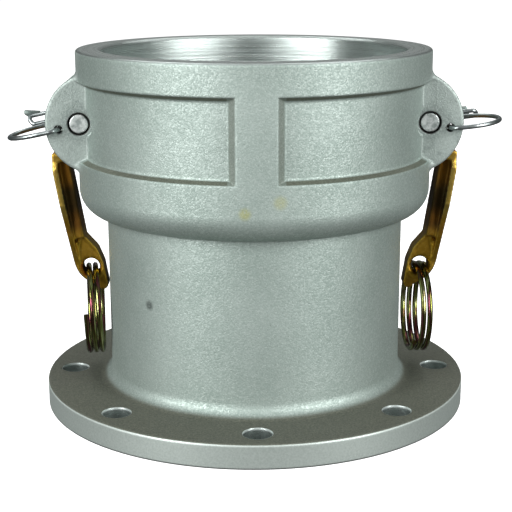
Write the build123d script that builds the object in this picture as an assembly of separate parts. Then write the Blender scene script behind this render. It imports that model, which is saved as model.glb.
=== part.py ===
from build123d import *
import math
import os

# Cam and groove coupler for a 4 inch line, with a bolted flange at its foot.
# Millimetres. The origin is the centre of the flange's bottom face and +Z points
# out of the mouth. The two lugs lie on the X axis, and their pins run along Y.
# Lengths called "depth" are measured down from the mouth.

# Flange
flange_reach = 26.1
flange_thick = 9.5
flange_edge_round = 0.9
bolt_inset = 10.5
bolt_hole_r = 5.55
bolt_count = 8
foot_fillet = 5.0

# Neck and bell
neck_wall = 8.2
neck_length = 67.7
flow_chamfer = 1.0
bell_wall = 9.8
bell_length = 64.0
bell_round = 9.9
under_fillet = 0.6
rim_round = 1.1

# Socket
socket_r = 59.85
seat_width = 9.05
mouth_chamfer = 1.0
mouth_land = 13.2
relief_depth = 0.75
groove_wall = 2.35
seat_depth = 56.7
groove_margin = 0.65

# Gasket
gasket_thick = 6.35
gasket_side_gap = 0.3
gasket_edge = 0.7

# Recessed panels of the bell
panel_depth = 2.9
panel_top_depth = 13.3
panel_height = 29.1
panel_top_slope = 1.7
panel_low_slope = 1.4
panel_floor_fillet = 0.8
band_width = 13.9
band_slope = 2.45
panel_past = 2.0
band_root = 6.0

# Lugs: two ears a side, with the arm between them
ear_gap = 20.0
ear_thick = 7.5
ear_r = 19.6
ear_inset = 8.65
ear_edge_round = 0.9
ear_top_fillet = 3.5
ear_root = 1.5
pin_inset = 2.15
pin_depth = 27.6
spot_face_r = 6.0
window_above = 11.4
window_below = 15.6
window_corner = 2.5
window_reach_in = 4.2
window_reach_out = 12.0

# Hinge pin and its holes
pin_r = 3.75
pin_hole_gap = 0.45
pin_arm_gap = 0.05
pin_end_inset = 0.3
pin_chamfer = 0.35

# Safety clip and its holes
clip_wire_r = 0.9
clip_hole_gap = 0.65
clip_hole_out = 7.9
clip_hole_drop = 2.0
clip_front_gap = 3.1
clip_tail = 2.6
clip_bend_r = 3.2
clip_loop_r = 13.4
clip_reach = 20.8
clip_return_out = 7.3
clip_hook_out = 15.9
clip_hook_tip = 2.0
clip_hook_end = 9.6
clip_hook_step = 2.0
clip_hook_r = 1.4
clip_hook_rise_left = 3.4
clip_hook_rise_right = -2.6
clip_tilt_left = -12.0
clip_tilt_right = 6.0

# Cam arm, in its own frame: s runs down the arm from the pin, v points outward
side_gap = 0.7
hub_r = 6.8
nose_r = 6.5
nose_offset = 8.0
nose_angle = 75.0
plate_v = 15.05
plate_thick = 2.3
plate_top_s = 10.8
plate_top_dip = 0.9
plate_top_run = 7.0
plate_shoulder_s = 15.6
plate_shoulder_run = 1.0
plate_half = 10.5
plate_foot_half = 4.0
plate_taper_start_s = 32.0
plate_taper_end_s = 58.0
plate_bend_s = 61.3
plate_bend_r = 10.3
plate_foot_angle = 52.0
plate_foot_length = 11.4
web_v = 8.7
web_half = 6.0
web_edge_round = 0.8
web_run_in = 4.5
root_end_s = 14.6
root_shoulder = 4.8
root_bite = 0.5
nub_r = 2.1
nub_s = 67.4
nub_v = 5.4
neck_gap_left = 0.6
neck_gap_right = 1.5
eye_s = 59.3
eye_v = 8.7
eye_r = 5.3
eye_shoulder_s = 54.2
eye_shoulder_v = 9.2
eye_shoulder_r = 4.7
eye_half = 4.0
eye_hole_r = 3.4
eye_hole_chamfer = 0.8
eye_tip_s = 46.6
eye_tip_r = 1.4
rim_width = 0.9
rim_rise = 0.45
eye_neck_half = 3.4

# Pull ring: a coil of wire hanging through the eye
ring_wire_r = 1.1
ring_mean_r = 17.5
ring_pitch = 2.6
ring_turns = 2.56
ring_sag = 0.75
ring_start_left = -0.02
ring_start_right = 0.12
ring_lean = 1.3
ring_turn_left = 6.5
ring_turn_right = 4.0

# Radii that follow from the socket, and heights that follow from the lengths above
flow_r = socket_r - seat_width
neck_r = flow_r + neck_wall
bell_r = socket_r + bell_wall
flange_r = neck_r + flange_reach
bolt_circle_r = flange_r - bolt_inset
flange_top = flange_thick
bell_bottom = flange_top + neck_length
mouth_z = bell_bottom + bell_length
seat_z = mouth_z - seat_depth
groove_r = socket_r + groove_wall
groove_top = seat_z + gasket_thick + groove_margin
relief_r = socket_r + relief_depth
relief_top = mouth_z - mouth_land
pin_z = mouth_z - pin_depth
pin_x = bell_r - pin_inset
window_low = pin_z - window_below
window_high = pin_z + window_above
relief_low = window_low - 0.5
panel_top = mouth_z - panel_top_depth
panel_low = panel_top - panel_height
panel_r = bell_r - panel_depth
ear_face = ear_gap / 2 + ear_thick
head_half = ear_gap / 2 - side_gap
clip_x = pin_x + clip_hole_out
clip_z = pin_z - clip_hole_drop


def arm_tilt(side):
    """An arm closes until its nub is a small gap from the neck, which sets its tilt."""
    near = nub_v - nub_r
    target = neck_r + (neck_gap_right if side > 0 else neck_gap_left) - pin_x
    return math.acos(target / math.hypot(nub_s, near)) - math.atan2(nub_s, near)


def eye_place(side):
    """Where the middle of the arm's eye hangs, as X and Z."""
    tilt = arm_tilt(side)
    x = pin_x + eye_v * math.cos(tilt) - eye_s * math.sin(tilt)
    z = pin_z - eye_s * math.cos(tilt) - eye_v * math.sin(tilt)
    return side * x, z


def round_corner(face, point, radius):
    """Round the corner of a flat profile that lies nearest to a point."""
    corner = face.vertices().sort_by_distance(Vector(*point))[0]
    return fillet(corner, radius)


def profile(points):
    """A flat profile from its corners."""
    return Sketch() + make_face(Polyline(*points, close=True))


def body_of_revolution():
    """Flange, neck and bell with the whole bore, turned about the axis."""
    points = [
        (flow_r + flow_chamfer, 0),
        (flange_r, 0),
        (flange_r, flange_top),
        (neck_r, flange_top),
        (neck_r, bell_bottom),
        (bell_r, bell_bottom),
        (bell_r, mouth_z),
        (socket_r + mouth_chamfer, mouth_z),
        (socket_r, mouth_z - mouth_chamfer),
        (socket_r, relief_top),
        (relief_r, relief_top),
        (relief_r, relief_low),
        (socket_r, relief_low),
        (socket_r, groove_top),
        (groove_r, groove_top),
        (groove_r, seat_z),
        (flow_r, seat_z),
        (flow_r, flow_chamfer),
    ]
    section = profile(points)
    section = round_corner(section, (flange_r, flange_top), flange_edge_round)
    section = round_corner(section, (neck_r, flange_top), foot_fillet)
    section = round_corner(section, (neck_r, bell_bottom), under_fillet)
    ledge = bell_r - neck_r - under_fillet
    section = round_corner(section, (bell_r, bell_bottom), min(bell_round, ledge - 0.1))
    section = round_corner(section, (bell_r, mouth_z), rim_round)
    return revolve(Plane.XZ * section, axis=Axis.Z)


def ears():
    """The four ears, each a round plate that grows out of the bell."""
    plates = Part()
    for side in (-1, 1):
        centre = (side * (bell_r - ear_inset), 0, pin_z)
        for face in (-1, 1):
            middle = Vector(*centre) + Vector(0, face * (ear_gap + ear_thick) / 2, 0)
            plate = Pos(*middle) * Rot(90, 0, 0) * Cylinder(ear_r, ear_thick)
            rim = plate.edges().filter_by(GeomType.CIRCLE)
            plates += fillet(rim, ear_edge_round)
    return plates - Cylinder(relief_r + ear_root, 2 * mouth_z)


def panels():
    """What is cast away between the lugs and the raised bands, front and back."""
    share = panel_past / panel_depth
    ring = profile([
        (panel_r, panel_low + panel_low_slope),
        (bell_r + panel_past, panel_low - panel_low_slope * share),
        (bell_r + panel_past, panel_top + panel_top_slope * (1 + share)),
        (panel_r, panel_top),
    ])
    ring = revolve(Plane.XZ * ring, axis=Axis.Z)
    ring = fillet(ring.edges().filter_by(GeomType.CIRCLE).sort_by(SortBy.RADIUS)[:2],
                  panel_floor_fillet)
    half = band_width / 2
    far = panel_r - band_root
    wide = half + band_slope * (bell_r - far) / panel_depth
    thin = half - band_slope * share
    band = profile([(-wide, far), (wide, far), (thin, bell_r + panel_past), (-thin, bell_r + panel_past)])
    band = extrude(band, amount=2 * mouth_z)
    ring -= band
    ring -= mirror(band, about=Plane.XZ)
    return ring - Box(4 * bell_r, 2 * ear_face, 4 * mouth_z)


def window(side):
    """The opening in the bell's wall that the cam nose reaches through."""
    inner = socket_r - window_reach_in
    outer = bell_r + window_reach_out
    tall = window_high - window_low
    block = Box(outer - inner, ear_gap, tall)
    block = fillet(block.edges().filter_by(Axis.X), window_corner)
    return Pos(side * (inner + outer) / 2, 0, (window_high + window_low) / 2) * block


def across(x, z, radius, length):
    """A round bar along Y."""
    return Pos(x, 0, z) * Rot(90, 0, 0) * Cylinder(radius, length)


def coupler_body():
    """The one casting: bell, neck, flange and lugs."""
    body = body_of_revolution() + ears()
    seam = [e for e in body.edges() if is_ear_top(e)]
    body = fillet(seam, ear_top_fillet)
    body -= panels()
    for side in (-1, 1):
        body -= window(side)
        body -= across(side * pin_x, pin_z, pin_r + pin_hole_gap, 3 * ear_face)
        body -= across(side * clip_x, clip_z, clip_wire_r + clip_hole_gap, 3 * ear_face)
        for face in (-1, 1):
            spot = across(side * pin_x, pin_z, spot_face_r, ear_thick)
            body -= Pos(0, face * (ear_face + ear_thick / 2), 0) * spot
    for turn in range(bolt_count):
        hole = Pos(0, -bolt_circle_r, 0) * Cylinder(bolt_hole_r, 3 * flange_thick)
        body -= Rot(0, 0, turn * 360 / bolt_count) * hole
    return body


def is_ear_top(edge):
    """True for the seam between the top of an ear and the bell."""
    middle = edge.position_at(0.5)
    radius = math.hypot(middle.X, middle.Y)
    high = middle.Z > pin_z + ear_r * 0.8
    wide = ear_gap / 2 + 0.5 < abs(middle.Y) < ear_face - 0.5
    return high and wide and abs(radius - bell_r) < 0.2 and middle.Z < mouth_z - 3


def gasket():
    """The flat ring seal in its groove."""
    ring = Cylinder(groove_r - gasket_side_gap, gasket_thick)
    ring -= Cylinder(flow_r, gasket_thick)
    ring = chamfer(ring.edges().filter_by(GeomType.CIRCLE), gasket_edge)
    return Pos(0, 0, seat_z + gasket_thick / 2) * ring


def both_ways(sketch, half):
    """Thicken a profile of the arm to both sides of its middle plane."""
    return extrude(sketch, amount=half, both=True)


def arm_head():
    """Hub, cam nose and the root that carries the grip plate."""
    angle = math.radians(nose_angle)
    nose = (nose_offset * math.cos(angle), -nose_offset * math.sin(angle))
    rounds = [Circle(hub_r).edge(), (Pos(*nose) * Circle(nose_r)).edge()]
    head = Sketch() + make_hull(rounds)
    inner = plate_v - plate_thick
    root = profile([
        (0, 0),
        (root_shoulder, root_shoulder),
        (plate_top_s, inner - plate_top_dip),
        (root_end_s, inner + root_bite),
        (root_end_s, web_v - web_run_in / 2),
        (nose[0] + nose_r, nose[1] + nose_r),
    ])
    return both_ways(head, head_half) + both_ways(root, head_half)


def arm_plate():
    """The grip plate, straight behind the web and bent in under the eye."""
    middle = plate_v - plate_thick / 2
    foot = math.radians(plate_foot_angle)
    end_s = plate_bend_s + plate_foot_length * math.cos(foot)
    end_v = middle - plate_foot_length * math.sin(foot)
    path = FilletPolyline(
        (plate_top_s, middle - plate_top_dip),
        (plate_top_s + plate_top_run, middle),
        (plate_bend_s, middle),
        (end_s, end_v),
        radius=plate_bend_r,
    )
    plate = both_ways(Sketch() + trace(path, line_width=plate_thick), plate_half)
    edge = [
        (0, head_half),
        (plate_shoulder_s - plate_shoulder_run, head_half),
        (plate_shoulder_s + plate_shoulder_run, plate_half),
        (plate_taper_start_s, plate_half),
        (plate_taper_end_s, plate_foot_half),
        (end_s + plate_foot_half, plate_foot_half),
    ]
    outline = profile(edge + [(s, -half) for s, half in reversed(edge)])
    outline = extrude(Plane.XZ * outline, amount=2 * plate_v, both=True)
    return plate & outline


def arm_web():
    """The web behind the plate, from the head to the eye, thinner beside the eye."""
    outer = plate_v - plate_thick / 2
    web = profile([
        (root_end_s - web_run_in / 2, web_v - web_run_in / 2),
        (root_end_s + web_run_in / 2, web_v),
        (eye_tip_s, web_v),
        (eye_tip_s, outer),
        (root_end_s - web_run_in / 2, outer - plate_top_dip),
    ])
    web = both_ways(web, web_half)
    inner_edges = web.edges().filter_by(Axis.X).sort_by(Axis.Y)[:2]
    web = fillet(inner_edges, web_edge_round)
    neck = profile([(eye_tip_s, web_v), (eye_s, eye_v), (eye_s, outer), (eye_tip_s, outer)])
    return web + both_ways(neck, eye_neck_half)


def pear():
    """Outline of the eye: a round with a shoulder and a point up the web."""
    tip = Pos(eye_tip_s, web_v + eye_tip_r) * Circle(eye_tip_r)
    shoulder = Pos(eye_shoulder_s, eye_shoulder_v) * Circle(eye_shoulder_r)
    eye = Pos(eye_s, eye_v) * Circle(eye_r)
    return Sketch() + make_hull([tip.edge(), shoulder.edge(), eye.edge()])


def arm_eye():
    """The eye's boss with its raised rim, and the nub at the arm's end."""
    face = pear()
    foot = profile([
        (eye_s, eye_v - eye_r),
        (nub_s, nub_v - nub_r),
        (nub_s + nub_r, nub_v),
        (plate_bend_s, plate_v - plate_thick),
        (eye_s, plate_v - plate_thick),
    ])
    nub = Pos(nub_s, nub_v) * Circle(nub_r)
    boss = both_ways(face, eye_half) + both_ways(foot, eye_half)
    boss += both_ways(Sketch() + nub, plate_foot_half)
    rim = face - offset(face, -rim_width)
    return boss + both_ways(rim, eye_half + rim_rise)


def cam_arm():
    """One arm in its own frame, with the pin's bore and the ring's hole."""
    arm = arm_head() + arm_plate() + arm_web() + arm_eye()
    arm -= Cylinder(pin_r + pin_arm_gap, 4 * head_half)
    arm -= Pos(eye_s, eye_v) * Cylinder(eye_hole_r, 4 * head_half)
    for face in (-1, 1):
        mouth = Cone(eye_hole_r, eye_hole_r + eye_hole_chamfer, eye_hole_chamfer)
        place = Pos(eye_s, eye_v, face * (eye_half - eye_hole_chamfer / 2))
        arm -= place * (mouth if face > 0 else Rot(180, 0, 0) * mouth)
    return arm


def placed_arm(side):
    """The arm on its pin, hanging closed against the neck."""
    tilt = arm_tilt(side)
    down = (-side * math.sin(tilt), 0, -math.cos(tilt))
    seat = Plane(origin=(side * pin_x, 0, pin_z), x_dir=down, z_dir=(0, -side, 0))
    return seat.location * cam_arm()


def hinge_pin(side):
    """The pin that the arm turns on."""
    length = 2 * (ear_face - pin_end_inset)
    pin = Cylinder(pin_r, length)
    pin = chamfer(pin.edges().filter_by(GeomType.CIRCLE), pin_chamfer)
    return Pos(side * pin_x, 0, pin_z) * Rot(90, 0, 0) * pin


def pull_ring(side):
    """A coil of wire through the eye, hanging straight down from it."""
    coil = Helix(ring_pitch, ring_pitch * ring_turns, ring_mean_r)
    start = Plane(origin=coil @ 0, z_dir=coil % 0)
    wire = sweep(start * Circle(ring_wire_r), path=coil, is_frenet=True)
    # Both rings are the same piece, so the right one is no mirror of the left.
    # Turn 0 is the front and 0.75 the top, where two strands lie in the eye.
    first = ring_start_right if side > 0 else ring_start_left
    middle = ring_pitch * (1.25 - first)
    wire = Pos(0, 0, -middle) * Rot(0, 0, 360 * first) * wire
    # Stand the coil up with its top at the origin, its first strand at the front
    stand = Plane(origin=(0, 0, -ring_mean_r), x_dir=(0, -1, 0), z_dir=(1, 0, 0))
    wire = Rot(0, side * ring_lean, 0) * stand.location * wire
    turn = ring_turn_right if side > 0 else ring_turn_left
    x, z = eye_place(side)
    return Pos(x, 0, z - ring_sag) * Rot(0, 0, turn) * wire


def safety_clip(side):
    """A bent wire: shank through both ears, loop in front, hook behind."""
    front = -(ear_face + clip_front_gap)
    loop_back = front + 2 * clip_loop_r + 1.0
    back = ear_face + clip_tail
    # The right clip is the same piece turned over, so its hook bends the other way
    rise = clip_hook_rise_right if side > 0 else clip_hook_rise_left
    points = [
        (0, back, 0),
        (0, front, 0),
        (clip_reach, front, 0),
        (clip_reach, loop_back, 0),
        (clip_return_out, loop_back, 0),
        (clip_return_out, back, 0),
        (clip_hook_out, back, 0),
        (clip_hook_out + clip_hook_tip, back + clip_hook_step, rise),
        (clip_hook_end, back + clip_hook_step, rise),
    ]
    radii = [
        clip_bend_r,
        clip_loop_r,
        clip_loop_r,
        clip_bend_r,
        clip_bend_r,
        clip_hook_r,
        clip_hook_r,
    ]
    path = FilletPolyline(*points, radius=radii)
    start = Plane(origin=path @ 0, z_dir=path % 0)
    wire = sweep(start * Circle(clip_wire_r), path=path)
    tilt = clip_tilt_right if side > 0 else clip_tilt_left
    wire = Pos(clip_x, 0, clip_z) * Rot(0, -tilt, 0) * wire
    return wire if side > 0 else mirror(wire, about=Plane.YZ)


def write(name, shape):
    """Save one piece under its own name."""
    shape.label = name
    export_step(shape, os.path.join("parts", name + ".step"))


os.makedirs("parts", exist_ok=True)
write("coupler_body", coupler_body())
write("gasket", gasket())
for side, where in ((-1, "left"), (1, "right")):
    write("cam_arm_" + where, placed_arm(side))
    write("hinge_pin_" + where, hinge_pin(side))
    write("pull_ring_" + where, pull_ring(side))
    write("safety_clip_" + where, safety_clip(side))
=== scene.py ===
import math

import bmesh
import bpy
from mathutils import Matrix, Vector


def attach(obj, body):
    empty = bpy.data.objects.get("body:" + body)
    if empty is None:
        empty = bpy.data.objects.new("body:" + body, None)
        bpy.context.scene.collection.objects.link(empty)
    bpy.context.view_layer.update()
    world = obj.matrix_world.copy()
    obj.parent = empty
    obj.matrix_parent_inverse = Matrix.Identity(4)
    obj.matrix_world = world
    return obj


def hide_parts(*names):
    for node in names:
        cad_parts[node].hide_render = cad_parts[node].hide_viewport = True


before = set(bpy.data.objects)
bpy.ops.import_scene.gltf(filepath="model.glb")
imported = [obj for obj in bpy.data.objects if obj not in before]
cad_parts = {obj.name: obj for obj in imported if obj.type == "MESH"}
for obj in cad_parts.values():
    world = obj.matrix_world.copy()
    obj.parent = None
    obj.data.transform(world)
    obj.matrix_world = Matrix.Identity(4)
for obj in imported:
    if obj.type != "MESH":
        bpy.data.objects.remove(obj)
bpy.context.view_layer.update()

# Sizes of the part in metres, for finishes that follow its shape
FLANGE_TOP = 0.0095
FLANGE_RADIUS = 0.0851
BOLT_CIRCLE = 0.0746
BOLT_HOLE = 0.00555
BOLT_COUNT = 8
BORE_EDGE = 0.0612
FLOW_RADIUS = 0.0508
BELL_FOOT = 0.0775
EAR_FACE = 0.0175
MOUTH = 0.1412
PIN_X = 0.0675
PIN_Z = 0.1136
PIN_HOLE = 0.0042
CLIP_X = 0.0754
CLIP_Z = 0.1116
CLIP_HOLE = 0.00155
EYE_TOP = 0.068
BELL_RADIUS = 0.06965
PANEL_RADIUS = 0.06675
PANEL_TOP = 0.1279
PANEL_LOW = 0.0988
# Height of the painted dark reflection band across the arms' web
WEB_REFLECTION_BAND = 0.082
RING_CENTRE = 0.0354
RING_RADIUS = 0.0175
# Where the ears' faces start beside the bell, and where they are full
EAR_START = 0.056
EAR_FULL = 0.062
# Half the width of the upright between the two front panels
UPRIGHT = 0.0105
# How far oil has crept round the pins
OIL_REACH = 0.0095
OIL_CORE = 0.0050
# Half widths of an arm's web and of its grip plate
WEB_HALF = 0.0075
PLATE_HALF = 0.0098

# Scales of the patterns, per metre
SAND_SCALE = 2000.0
GRAIN_SCALE = 1500.0
PIT_SCALE = 420.0
SMUDGE_SCALE = 170.0
CLOUD_SCALE = 34.0
LATHE_SCALE = 5200.0
BRASS_GRAIN_SCALE = 700.0
BRASS_CLOUD_SCALE = 90.0
OXIDE_AND_SHADE_SCALE = 180.0
WIRE_MARK_SCALE = 1400.0
WIRE_CLOUD_SCALE = 160.0
FILM_MARK_SCALE = 1500.0
FILM_ACROSS_SCALE = 650.0
FILM_ALONG_SCALE = 60.0
SMEAR_SCALE = 420.0
BLOOM_SCALE = 120.0
RUBBER_SCALE = 1500.0

# The arms as they come from the mould: grid of the copy, and how often it is smoothed
CAST_GRID = 0.00035
CAST_PASSES = 6

# The pinched end of each clip's hook: its plane, half its thickness, the rounding of its
# edges and its corners
TAB_BACK = 0.0222
TAB_HALF = 0.00055
TAB_ROUND = 0.0003
TABS = {
    "left": (
        (-0.0950, 0.1134), (-0.0947, 0.1121), (-0.0932, 0.1112), (-0.0915, 0.1108),
        (-0.0900, 0.1112), (-0.0885, 0.1127), (-0.0880, 0.1137), (-0.0945, 0.1140),
    ),
    "right": (
        (0.0900, 0.1107), (0.0884, 0.1147), (0.0850, 0.1147), (0.0850, 0.1103),
        (0.0895, 0.1103),
    ),
}

# Stains on the skin: middle, reach, strength and colour
STAINS = (
    ((-0.0042, -0.0695, 0.0890), 0.0030, 0.60, (0.38, 0.38, 0.12)),
    ((0.0082, -0.0690, 0.0929), 0.0034, 0.45, (0.42, 0.42, 0.17)),
    ((-0.0402, -0.0432, 0.0486), 0.0026, 0.85, (0.09, 0.11, 0.10)),
)

# Camera, from the fit to the photograph
CAMERA_PLACE = (-0.00614, -0.50014, 0.18176)
CAMERA_YAW = 0.768
CAMERA_PITCH = 14.034
CAMERA_ROLL = -0.167
CAMERA_REACH = 400.0
LENS = 88.81
SENSOR = 36.0

# Floor: half its side, its height just under the foot, and its own glow
FLOOR_HALF = 150.0
FLOOR_LEVEL = -0.0003
FLOOR_GLOW = 0.95

# Strength of the light from all round
STUDIO_LIGHT = 0.10

# Soft boxes: name, place, size and power in watts
SOFTBOXES = (
    ("key_left", (-0.93, -0.92, 0.52), (0.70, 0.95), 24.0),
    ("key_right", (0.98, -0.86, 0.50), (0.60, 0.90), 19.5),
    ("back", (0.0, 1.30, 0.55), (0.60, 0.30), 0.2),
    ("back_left", (-0.40, 0.70, 1.25), (0.60, 0.60), 3.5),
    ("back_right", (0.40, 0.70, 1.25), (0.60, 0.60), 3.5),
    ("top", (0.0, 0.0, 1.20), (0.70, 0.70), 1.0),
)


class Graph:
    """A material's node tree, with short calls for the nodes used here."""

    def __init__(self, name):
        self.material = bpy.data.materials.new(name)
        self.material.use_nodes = True
        self.tree = self.material.node_tree
        self.shader = self.tree.nodes["Principled BSDF"]

    def node(self, kind, **settings):
        made = self.tree.nodes.new("ShaderNode" + kind)
        for key, value in settings.items():
            setattr(made, key, value)
        return made

    def feed(self, socket, value):
        """Link a socket or set a plain value."""
        if isinstance(value, bpy.types.NodeSocket):
            self.tree.links.new(value, socket)
        else:
            socket.default_value = value

    def math(self, operation, *values):
        made = self.node("Math", operation=operation)
        for socket, value in zip(made.inputs, values):
            self.feed(socket, value)
        return made.outputs[0]

    def split(self, vector):
        """X, Y and Z of a vector."""
        parts = self.node("SeparateXYZ")
        self.feed(parts.inputs[0], vector)
        return parts.outputs[0], parts.outputs[1], parts.outputs[2]

    def place(self):
        """Object coordinates as a vector and as X, Y and Z."""
        vector = self.node("TexCoord").outputs["Object"]
        return (vector, *self.split(vector))

    def noise(self, vector, scale, detail=3.0, rough=0.55, warp=0.0):
        made = self.node("TexNoise")
        self.feed(made.inputs["Vector"], vector)
        made.inputs["Scale"].default_value = scale
        made.inputs["Detail"].default_value = detail
        made.inputs["Roughness"].default_value = rough
        made.inputs["Distortion"].default_value = warp
        return made.outputs[0]

    def cells(self, vector, scale):
        """Distance to the middle of the nearest cell, and that cell's random colour."""
        made = self.node("TexVoronoi", feature="F1")
        self.feed(made.inputs["Vector"], vector)
        made.inputs["Scale"].default_value = scale
        return made.outputs["Distance"], made.outputs["Color"]

    def near(self, vector, point, reach):
        """1 at a point and 0 beyond its reach."""
        made = self.node("VectorMath", operation="DISTANCE")
        self.feed(made.inputs[0], vector)
        made.inputs[1].default_value = point
        return self.step(made.outputs["Value"], reach, reach * 0.3)

    def step(self, value, low, high):
        """0 below low and 1 above high, smooth between, or the other way round."""
        made = self.node("MapRange", interpolation_type="SMOOTHSTEP")
        falling = low > high
        self.feed(made.inputs["Value"], value)
        made.inputs["From Min"].default_value = high if falling else low
        made.inputs["From Max"].default_value = low if falling else high
        made.inputs["To Min"].default_value = 1.0 if falling else 0.0
        made.inputs["To Max"].default_value = 0.0 if falling else 1.0
        return made.outputs[0]

    def ramp(self, value, *stops):
        """Colours along a value, from (position, colour) pairs."""
        made = self.node("ValToRGB")
        self.feed(made.inputs[0], value)
        points = made.color_ramp.elements
        for index, (position, colour) in enumerate(stops):
            point = points[index] if index < 2 else points.new(position)
            point.position = position
            point.color = (*colour, 1.0)
        return made.outputs[0]

    def mix(self, share, first, second):
        """A colour that goes from first to second."""
        made = self.node("Mix", data_type="RGBA")
        self.feed(made.inputs[0], share)
        for socket, value in ((made.inputs[6], first), (made.inputs[7], second)):
            self.feed(socket, (*value, 1.0) if isinstance(value, tuple) else value)
        return made.outputs[2]

    def layer(self, base, mask, share, colour):
        """A colour laid over the base by that share where the mask is 1."""
        return self.mix(self.math("MULTIPLY", mask, share), base, colour)

    def between(self, share, first, second):
        """A number that goes from first to second."""
        made = self.node("Mix", data_type="FLOAT")
        self.feed(made.inputs[0], share)
        self.feed(made.inputs[2], first)
        self.feed(made.inputs[3], second)
        return made.outputs[0]

    def bump(self, height, distance, strength=1.0, normal=None):
        made = self.node("Bump")
        self.feed(made.inputs["Height"], height)
        made.inputs["Distance"].default_value = distance
        self.feed(made.inputs["Strength"], strength)
        if normal is not None:
            self.feed(made.inputs["Normal"], normal)
        return made.outputs[0]

    def facing(self):
        """X of the normal in the piece's own frame, which turns with the piece."""
        return self.split(self.node("TexCoord").outputs["Normal"])[0]

    def distance(self, first, second):
        """Length of the hypotenuse."""
        squares = [self.math("MULTIPLY", value, value) for value in (first, second)]
        return self.math("SQRT", self.math("ADD", *squares))

    def both(self, *masks):
        """Where every mask is 1."""
        result = masks[0]
        for mask in masks[1:]:
            result = self.math("MULTIPLY", result, mask)
        return result

    def any(self, *masks):
        """Where at least one mask is 1."""
        result = masks[0]
        for mask in masks[1:]:
            result = self.math("MAXIMUM", result, mask)
        return result

    def lathe_lines(self, radius, height):
        """Noise that is the same all round, for the lines that a lathe leaves."""
        made = self.node("CombineXYZ")
        self.feed(made.inputs[0], self.math("MULTIPLY", radius, LATHE_SCALE))
        self.feed(made.inputs[1], self.math("MULTIPLY", height, LATHE_SCALE))
        return self.noise(made.outputs[0], 1.0, detail=2.0, rough=0.6)

    def soft_edges(self, radius):
        """A normal that rounds sharp edges by that radius."""
        made = self.node("Bevel", samples=6)
        made.inputs["Radius"].default_value = radius
        return made.outputs[0]

    def edges(self, radius):
        """1 on sharp edges and 0 on flat stretches."""
        flat = self.node("NewGeometry").outputs["Normal"]
        turn = self.node("VectorMath", operation="DOT_PRODUCT")
        self.feed(turn.inputs[0], self.soft_edges(radius))
        self.feed(turn.inputs[1], flat)
        return self.step(turn.outputs["Value"], 0.995, 0.88)

    def finish(self, colour, roughness, metallic, normal):
        """Feed the shader and give the material."""
        self.feed(self.shader.inputs["Base Color"], colour)
        self.feed(self.shader.inputs["Roughness"], roughness)
        self.feed(self.shader.inputs["Metallic"], metallic)
        self.feed(self.shader.inputs["Normal"], normal)
        return self.material


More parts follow.
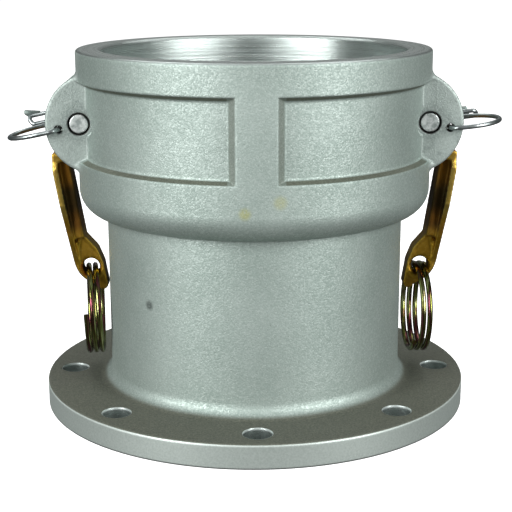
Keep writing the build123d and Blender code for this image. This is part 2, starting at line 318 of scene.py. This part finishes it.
def cast_aluminium():
    """Sand-cast skin, with turned faces at the mouth, in the bore and on the flange."""
    g = Graph("cast_aluminium")
    vector, x, y, z = g.place()
    radius = g.distance(x, y)
    side = g.math("ABSOLUTE", y)
    lug = g.math("ABSOLUTE", x)

    # Turned zones
    flow = g.step(radius, FLOW_RADIUS + 0.001, FLOW_RADIUS + 0.0005)
    in_socket = g.both(
        g.step(radius, BORE_EDGE + 0.0003, BORE_EDGE - 0.0003),
        g.step(z, BELL_FOOT, BELL_FOOT + 0.001),
    )
    rim = g.step(z, MOUTH - 0.0007, MOUTH - 0.0002)
    flange_side = g.both(
        g.step(radius, FLANGE_RADIUS - 0.0009, FLANGE_RADIUS - 0.0003),
        g.step(z, FLANGE_TOP - 0.0002, FLANGE_TOP - 0.0006),
    )
    foot = g.step(z, 0.0006, 0.0002)
    # The bolt holes, folded onto one by their angle
    angle = g.math("ARCTAN2", y, x)
    wedge = math.tau / BOLT_COUNT
    nearest = g.math("MULTIPLY", g.math("ROUND", g.math("DIVIDE", angle, wedge)), wedge)
    folded = g.math("SUBTRACT", angle, nearest)
    outward = g.math("MULTIPLY", radius, g.math("COSINE", folded))
    along = g.math("SUBTRACT", outward, BOLT_CIRCLE)
    aside = g.math("MULTIPLY", radius, g.math("SINE", folded))
    low = g.step(z, FLANGE_TOP + 0.002, FLANGE_TOP + 0.001)
    from_hole = g.distance(along, aside)
    drilled = g.both(low, g.step(from_hole, BOLT_HOLE + 0.00015, BOLT_HOLE + 0.00005))
    turned = g.any(flow, in_socket, rim, foot, drilled)
    smooth = g.any(turned, flange_side)

    # Flange top, which is browner, and painted darker than the rest as shade, for it faces up,
    # away from the front lights
    on_top = g.both(
        g.step(z, FLANGE_TOP + 0.0016, FLANGE_TOP + 0.0002),
        g.step(z, FLANGE_TOP - 0.0012, FLANGE_TOP - 0.0004),
    )
    # Faces of the ears, which are paler, and painted shade inside their pin and clip holes
    ear = g.both(
        g.step(side, EAR_FACE - 0.0012, EAR_FACE - 0.0004),
        g.step(side, EAR_FACE + 0.004, EAR_FACE + 0.001),
        g.step(lug, EAR_START, EAR_FULL),
    )
    from_pin = g.distance(g.math("SUBTRACT", lug, PIN_X), g.math("SUBTRACT", z, PIN_Z))
    from_clip = g.distance(g.math("SUBTRACT", lug, CLIP_X), g.math("SUBTRACT", z, CLIP_Z))
    # Painted shade: a mask for the insides of the pin and clip holes
    hole_shade = g.any(
        g.step(from_pin, PIN_HOLE + 0.0005, PIN_HOLE + 0.0001),
        g.step(from_clip, CLIP_HOLE + 0.0003, CLIP_HOLE),
    )
    # Slopes round the recessed panels, painted darker as brown sand and dirt and as painted
    # shade
    slope = g.both(
        g.step(radius, PANEL_RADIUS + 0.0002, PANEL_RADIUS + 0.0006),
        g.step(radius, BELL_RADIUS - 0.0001, BELL_RADIUS - 0.0006),
        g.step(z, PANEL_LOW - 0.003, PANEL_LOW - 0.0025),
        g.step(z, PANEL_TOP + 0.0035, PANEL_TOP + 0.003),
        g.math("SUBTRACT", 1.0, ear),
    )

    sand, tint = g.cells(vector, SAND_SCALE)
    tone = g.split(tint)[0]
    grain = g.noise(vector, GRAIN_SCALE, detail=3.0, rough=0.6)
    pits = g.step(g.cells(vector, PIT_SCALE)[0], 0.12, 0.04)
    cloud = g.noise(vector, CLOUD_SCALE, detail=4.0, rough=0.6)
    lathe = g.lathe_lines(radius, z)

    # Colour, from the plain skin to what lies on it
    skin = g.ramp(cloud, (0.3, (0.300, 0.366, 0.334)), (0.7, (0.368, 0.436, 0.404)))
    skin = g.layer(skin, g.step(tone, 0.45, 1.0), 0.34, (0.60, 0.68, 0.64))
    skin = g.layer(skin, g.step(tone, 0.35, 0.0), 0.20, (0.16, 0.21, 0.18))
    skin = g.layer(skin, pits, 0.45, (0.13, 0.14, 0.11))
    skin = g.layer(skin, ear, 0.35, (0.50, 0.55, 0.53))
    smudge = g.step(g.noise(vector, SMUDGE_SCALE, detail=4.0, rough=0.65), 0.54, 0.68)
    skin = g.layer(skin, g.both(ear, smudge), 0.45, (0.15, 0.18, 0.17))
    oily = g.both(ear, g.step(from_pin, OIL_REACH, OIL_CORE), g.step(grain, 0.30, 0.60))
    skin = g.layer(skin, oily, 0.45, (0.10, 0.13, 0.12))
    # Dirt with painted shade on the panel slopes, painted lighter on the slopes beside the
    # upright
    dirt_and_shade = g.ramp(grain, (0.3, (0.09, 0.09, 0.06)), (0.7, (0.18, 0.18, 0.13)))
    upright = g.step(lug, UPRIGHT, UPRIGHT - 0.0005)
    skin = g.layer(skin, slope, g.between(upright, 0.82, 0.40), dirt_and_shade)
    # Painted shade on the flange top
    top_shade = g.ramp(grain, (0.3, (0.036, 0.037, 0.025)), (0.75, (0.128, 0.129, 0.092)))
    skin = g.layer(skin, on_top, 0.9, top_shade)
    for point, reach, share, stain in STAINS:
        mark = g.both(g.near(vector, point, reach), g.step(grain, 0.20, 0.50))
        skin = g.layer(skin, mark, share, stain)
    # Flange side: paler as machined metal, and painted lighter still as a painted highlight
    side_skin_and_sheen = g.ramp(grain, (0.3, (0.50, 0.57, 0.53)), (0.7, (0.62, 0.69, 0.65)))
    bright = g.ramp(lathe, (0.3, (0.42, 0.48, 0.46)), (0.7, (0.58, 0.64, 0.62)))
    colour = g.mix(flange_side, skin, side_skin_and_sheen)
    colour = g.mix(turned, colour, bright)
    # Painted shade: near black inside the pin and clip holes
    colour = g.mix(hole_shade, colour, (0.012, 0.012, 0.010))

    # Gloss, and the sand and the lathe in the relief
    rough_skin = g.between(tone, 0.64, 0.52)
    rough_skin = g.between(on_top, rough_skin, 0.72)
    roughness = g.between(flange_side, rough_skin, 0.42)
    roughness = g.between(turned, roughness, g.between(lathe, 0.22, 0.36))
    dulled = g.any(hole_shade, g.math("MULTIPLY", on_top, 0.6))
    metallic = g.between(turned, 0.70, 0.95)
    metallic = g.math("MULTIPLY", metallic, g.math("SUBTRACT", 1.0, dulled))
    rounded = g.soft_edges(0.0011)
    cast = g.math("SUBTRACT", grain, g.math("MULTIPLY", sand, 0.5))
    cast = g.math("SUBTRACT", cast, g.math("MULTIPLY", pits, 0.3))
    normal = g.bump(cast, 0.0003, g.between(smooth, 0.28, 0.03), rounded)
    normal = g.bump(lathe, 0.00011, g.any(in_socket, g.math("MULTIPLY", turned, 0.4)), normal)
    return g.finish(colour, roughness, metallic, normal)


def cast_brass():
    """Golden cast brass, with worn bare metal and painted highlights on its edges, and dark
    oxide with painted shade and a painted dark reflection band on the web behind the plate.
    """
    g = Graph("cast_brass")
    vector, x, y, z = g.place()
    side = g.math("ABSOLUTE", y)

    grain = g.noise(vector, BRASS_GRAIN_SCALE, detail=4.0, rough=0.6)
    cloud = g.noise(vector, BRASS_CLOUD_SCALE, detail=3.0, rough=0.6)
    worn_lit_edge = g.edges(0.0008)
    colour = g.ramp(cloud, (0.3, (0.40, 0.215, 0.018)), (0.7, (0.57, 0.34, 0.04)))
    colour = g.layer(colour, g.step(grain, 0.45, 0.8), 0.6, (0.62, 0.42, 0.09))
    # Painted highlight: the faces of the plate's edges painted lighter, as lit
    lit_rails = g.step(side, PLATE_HALF - 0.001, PLATE_HALF)
    colour = g.layer(colour, lit_rails, 0.6, (0.62, 0.46, 0.12))
    # Oxide and painted shade on the web, between the plate's edges, and painted shade on what
    # faces the neck
    inward = g.math("MULTIPLY", g.facing(), g.math("MULTIPLY", g.math("SIGN", x), -1.0))
    web = g.both(
        g.any(g.step(side, WEB_HALF + 0.0015, WEB_HALF), g.step(inward, 0.35, 0.7)),
        g.step(z, EYE_TOP - 0.004, EYE_TOP + 0.004),
    )
    patches = g.noise(vector, OXIDE_AND_SHADE_SCALE, detail=3.0)
    oxide_and_shade = g.ramp(patches, (0.35, (0.075, 0.028, 0.004)), (0.65, (0.18, 0.070, 0.007)))
    upper = g.step(z, WEB_REFLECTION_BAND, WEB_REFLECTION_BAND + 0.012)
    oxide_and_shade = g.layer(oxide_and_shade, upper, 0.7, (0.29, 0.115, 0.005))
    # Painted reflection: a dark band across the web
    reflected_band = g.step(g.math("ABSOLUTE", g.math("SUBTRACT", z, WEB_REFLECTION_BAND)), 0.0075, 0.0025)
    oxide_and_shade = g.layer(oxide_and_shade, reflected_band, 0.85, (0.010, 0.007, 0.005))
    colour = g.layer(colour, web, 0.92, oxide_and_shade)
    # Painted shade in the hollows, and worn bare metal with a painted highlight on the edges
    # Painted shade from ambient occlusion
    shade = g.node("AmbientOcclusion", samples=8)
    shade.inputs["Distance"].default_value = 0.006
    hollow_shade = g.step(shade.outputs["AO"], 0.60, 0.1)
    colour = g.layer(colour, hollow_shade, 0.6, (0.15, 0.075, 0.012))
    # Worn bare metal and a painted highlight on the sharp edges
    colour = g.layer(colour, worn_lit_edge, 0.55, (0.80, 0.66, 0.30))
    roughness = g.between(web, g.between(grain, 0.28, 0.46), 0.55)
    normal = g.bump(grain, 0.00012, 0.6, g.soft_edges(0.0007))
    return g.finish(colour, roughness, g.between(web, 1.0, 0.75), normal)


def zinc_wire(name, dark, light, low, high, scratch):
    """Plated wire with fine drawing marks, between two tones and two roughnesses."""
    g = Graph(name)
    vector = g.place()[0]
    marks = g.noise(vector, WIRE_MARK_SCALE, detail=3.0, rough=0.6, warp=0.4)
    cloud = g.noise(vector, WIRE_CLOUD_SCALE, detail=2.0, rough=0.5)
    colour = g.ramp(cloud, (0.3, dark), (0.7, light))
    roughness = g.between(marks, low, high)
    normal = g.bump(marks, scratch, 0.6)
    return g.finish(colour, roughness, 1.0, normal)


def yellow_zinc():
    """Chromated wire, whose film shows green, gold and magenta in streaks along it."""
    g = Graph("yellow_zinc")
    vector, x, y, z = g.place()
    drop = g.math("SUBTRACT", z, RING_CENTRE)
    round_ring = g.math("MULTIPLY", g.math("ARCTAN2", y, drop), RING_RADIUS)
    run = g.node("CombineXYZ")
    scaled = (
        (x, FILM_ACROSS_SCALE),
        (g.distance(y, drop), FILM_ACROSS_SCALE),
        (round_ring, FILM_ALONG_SCALE),
    )
    for socket, (value, scale) in zip(run.inputs, scaled):
        g.feed(socket, g.math("MULTIPLY", value, scale))
    streaks = g.noise(run.outputs[0], 1.0, detail=3.0, rough=0.6, warp=0.5)
    marks = g.noise(vector, FILM_MARK_SCALE, detail=3.0, rough=0.6)
    colour = g.ramp(
        streaks,
        (0.30, (0.035, 0.016, 0.013)),
        (0.40, (0.19, 0.05, 0.07)),
        (0.47, (0.07, 0.04, 0.02)),
        (0.54, (0.17, 0.19, 0.045)),
        (0.61, (0.38, 0.38, 0.19)),
        (0.70, (0.09, 0.05, 0.03)),
    )
    roughness = g.between(marks, 0.12, 0.28)
    normal = g.bump(marks, 0.00006, 0.5)
    return g.finish(colour, roughness, 1.0, normal)


def turned_steel():
    """Bright pin, with turning marks round the axis of each end."""
    g = Graph("turned_steel")
    vector, x, y, z = g.place()
    aside = g.math("SUBTRACT", g.math("ABSOLUTE", x), PIN_X)
    radius = g.distance(aside, g.math("SUBTRACT", z, PIN_Z))
    lines = g.lathe_lines(radius, y)
    smear = g.noise(vector, SMEAR_SCALE, detail=4.0, rough=0.65)
    colour = g.ramp(smear, (0.38, (0.46, 0.52, 0.50)), (0.60, (0.88, 0.92, 0.90)))
    roughness = g.between(smear, 0.35, 0.55)
    normal = g.bump(g.math("ADD", lines, smear), 0.00008, 0.5, g.soft_edges(0.0003))
    return g.finish(colour, roughness, 1.0, normal)


def black_rubber():
    """Moulded seal with a faint bloom."""
    g = Graph("black_rubber")
    vector = g.place()[0]
    bloom = g.noise(vector, BLOOM_SCALE, detail=4.0, rough=0.6)
    fine = g.noise(vector, RUBBER_SCALE, detail=2.0)
    colour = g.ramp(bloom, (0.35, (0.012, 0.012, 0.013)), (0.75, (0.035, 0.035, 0.036)))
    normal = g.bump(fine, 0.00006, 0.5, g.soft_edges(0.0004))
    return g.finish(colour, g.between(bloom, 0.5, 0.7), 0.0, normal)


def dress(node, material):
    """Give a CAD node's object a material."""
    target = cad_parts[node]
    for place in target.material_slots:
        place.material = material
    if not target.material_slots:
        target.data.materials.append(material)


def cast_piece(node, material):
    """A copy of a CAD node as it comes from the mould, with its edges worn round."""
    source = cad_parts[node]
    piece = bpy.data.objects.new(node + "_cast", source.data.copy())
    bpy.context.scene.collection.objects.link(piece)
    skin = piece.modifiers.new("skin", "REMESH")
    skin.mode = "VOXEL"
    skin.voxel_size = CAST_GRID
    worn = piece.modifiers.new("worn", "SMOOTH")
    worn.iterations = CAST_PASSES
    settle(piece, material)
    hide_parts(node)
    return piece


def settle(piece, material):
    """Turn a piece's modifiers into its mesh, with smooth faces and one material."""
    evaluated = piece.evaluated_get(bpy.context.evaluated_depsgraph_get())
    piece.data = bpy.data.meshes.new_from_object(evaluated)
    piece.modifiers.clear()
    piece.data.polygons.foreach_set("use_smooth", [True] * len(piece.data.polygons))
    piece.data.materials.clear()
    piece.data.materials.append(material)


def pinched_tab(where, corners):
    """The end of a clip's hook, pinched flat into a small tab."""
    mesh = bpy.data.meshes.new("clip_tab_" + where)
    form = bmesh.new()
    front = [form.verts.new((x, TAB_BACK - TAB_HALF, z)) for x, z in corners]
    back = [form.verts.new((x, TAB_BACK + TAB_HALF, z)) for x, z in corners]
    form.faces.new(front)
    form.faces.new(list(reversed(back)))
    for index, corner in enumerate(front):
        after = (index + 1) % len(front)
        form.faces.new((front[after], corner, back[index], back[after]))
    bmesh.ops.recalc_face_normals(form, faces=form.faces)
    form.to_mesh(mesh)
    form.free()
    piece = bpy.data.objects.new("clip_tab_" + where, mesh)
    bpy.context.scene.collection.objects.link(piece)
    corner_round = piece.modifiers.new("corner_round", "BEVEL")
    corner_round.width = TAB_ROUND
    corner_round.segments = 3
    return piece


def stage():
    """Pale floor, light from all round and the soft boxes."""
    signs = ((-1, -1), (1, -1), (1, 1), (-1, 1))
    corners = [(FLOOR_HALF * x, FLOOR_HALF * y, FLOOR_LEVEL) for x, y in signs]
    mesh = bpy.data.meshes.new("floor")
    mesh.from_pydata(corners, [], [(0, 1, 2, 3)])
    floor = bpy.data.objects.new("floor", mesh)
    bpy.context.scene.collection.objects.link(floor)
    g = Graph("pale_floor")
    g.shader.inputs["Base Color"].default_value = (0.85, 0.85, 0.85, 1.0)
    g.shader.inputs["Roughness"].default_value = 0.9
    g.shader.inputs["Emission Color"].default_value = (1.0, 1.0, 1.0, 1.0)
    g.shader.inputs["Emission Strength"].default_value = FLOOR_GLOW
    # The floor shows from above alone, so that the foot can be seen from below
    clear = g.node("BsdfTransparent")
    share = g.node("MixShader")
    g.feed(share.inputs[0], g.node("NewGeometry").outputs["Backfacing"])
    g.feed(share.inputs[1], g.shader.outputs[0])
    g.feed(share.inputs[2], clear.outputs[0])
    g.feed(g.tree.nodes["Material Output"].inputs["Surface"], share.outputs[0])
    mesh.materials.append(g.material)
    floor.visible_diffuse = False
    floor.visible_glossy = False

    world = bpy.data.worlds.new("studio")
    world.use_nodes = True
    background = world.node_tree.nodes["Background"]
    background.inputs[0].default_value = (0.95, 1.0, 0.98, 1.0)
    background.inputs[1].default_value = STUDIO_LIGHT
    bpy.context.scene.world = world

    for box in SOFTBOXES:
        softbox(*box)


def softbox(name, place, size, power):
    """A rectangular area light that looks at the middle of the object."""
    light = bpy.data.lights.new(name, "AREA")
    light.shape = "RECTANGLE"
    light.size, light.size_y = size
    light.energy = power
    lamp = bpy.data.objects.new(name, light)
    target = Vector((0, 0, MOUTH / 2))
    lamp.location = place
    lamp.rotation_euler = (target - lamp.location).to_track_quat("-Z", "Y").to_euler()
    lamp.visible_camera = False
    bpy.context.scene.collection.objects.link(lamp)


def photo_camera():
    """The camera of the photograph, from its fitted place, angles and lens."""
    data = bpy.data.cameras.new("photo_camera")
    data.sensor_width = SENSOR
    data.lens = LENS
    data.clip_end = CAMERA_REACH
    camera = bpy.data.objects.new("photo_camera", data)
    yaw = Matrix.Rotation(math.radians(-CAMERA_YAW), 4, "Z")
    pitch = Matrix.Rotation(math.radians(90 - CAMERA_PITCH), 4, "X")
    roll = Matrix.Rotation(math.radians(CAMERA_ROLL), 4, "Z")
    camera.matrix_world = Matrix.Translation(CAMERA_PLACE) @ yaw @ pitch @ roll
    bpy.context.scene.collection.objects.link(camera)
    bpy.context.scene.camera = camera


photo_camera()
stage()

dress("coupler_body", cast_aluminium())
dress("gasket", black_rubber())
brass = cast_brass()
steel = turned_steel()
film = yellow_zinc()
zinc = zinc_wire("bright_zinc", (0.24, 0.28, 0.28), (0.50, 0.54, 0.54), 0.24, 0.42, 0.00005)
pinched = zinc_wire("pinched_zinc", (0.10, 0.13, 0.12), (0.26, 0.31, 0.29), 0.38, 0.55, 0.0001)
for where in ("left", "right"):
    arm = cast_piece("cam_arm_" + where, brass)
    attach(arm, "arm_" + where)
    dress("hinge_pin_" + where, steel)
    dress("pull_ring_" + where, film)
    dress("safety_clip_" + where, zinc)
    tab = pinched_tab(where, TABS[where])
    settle(tab, pinched)
    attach(tab, "clip_" + where)

bpy.context.scene.view_settings.view_transform = "Standard"
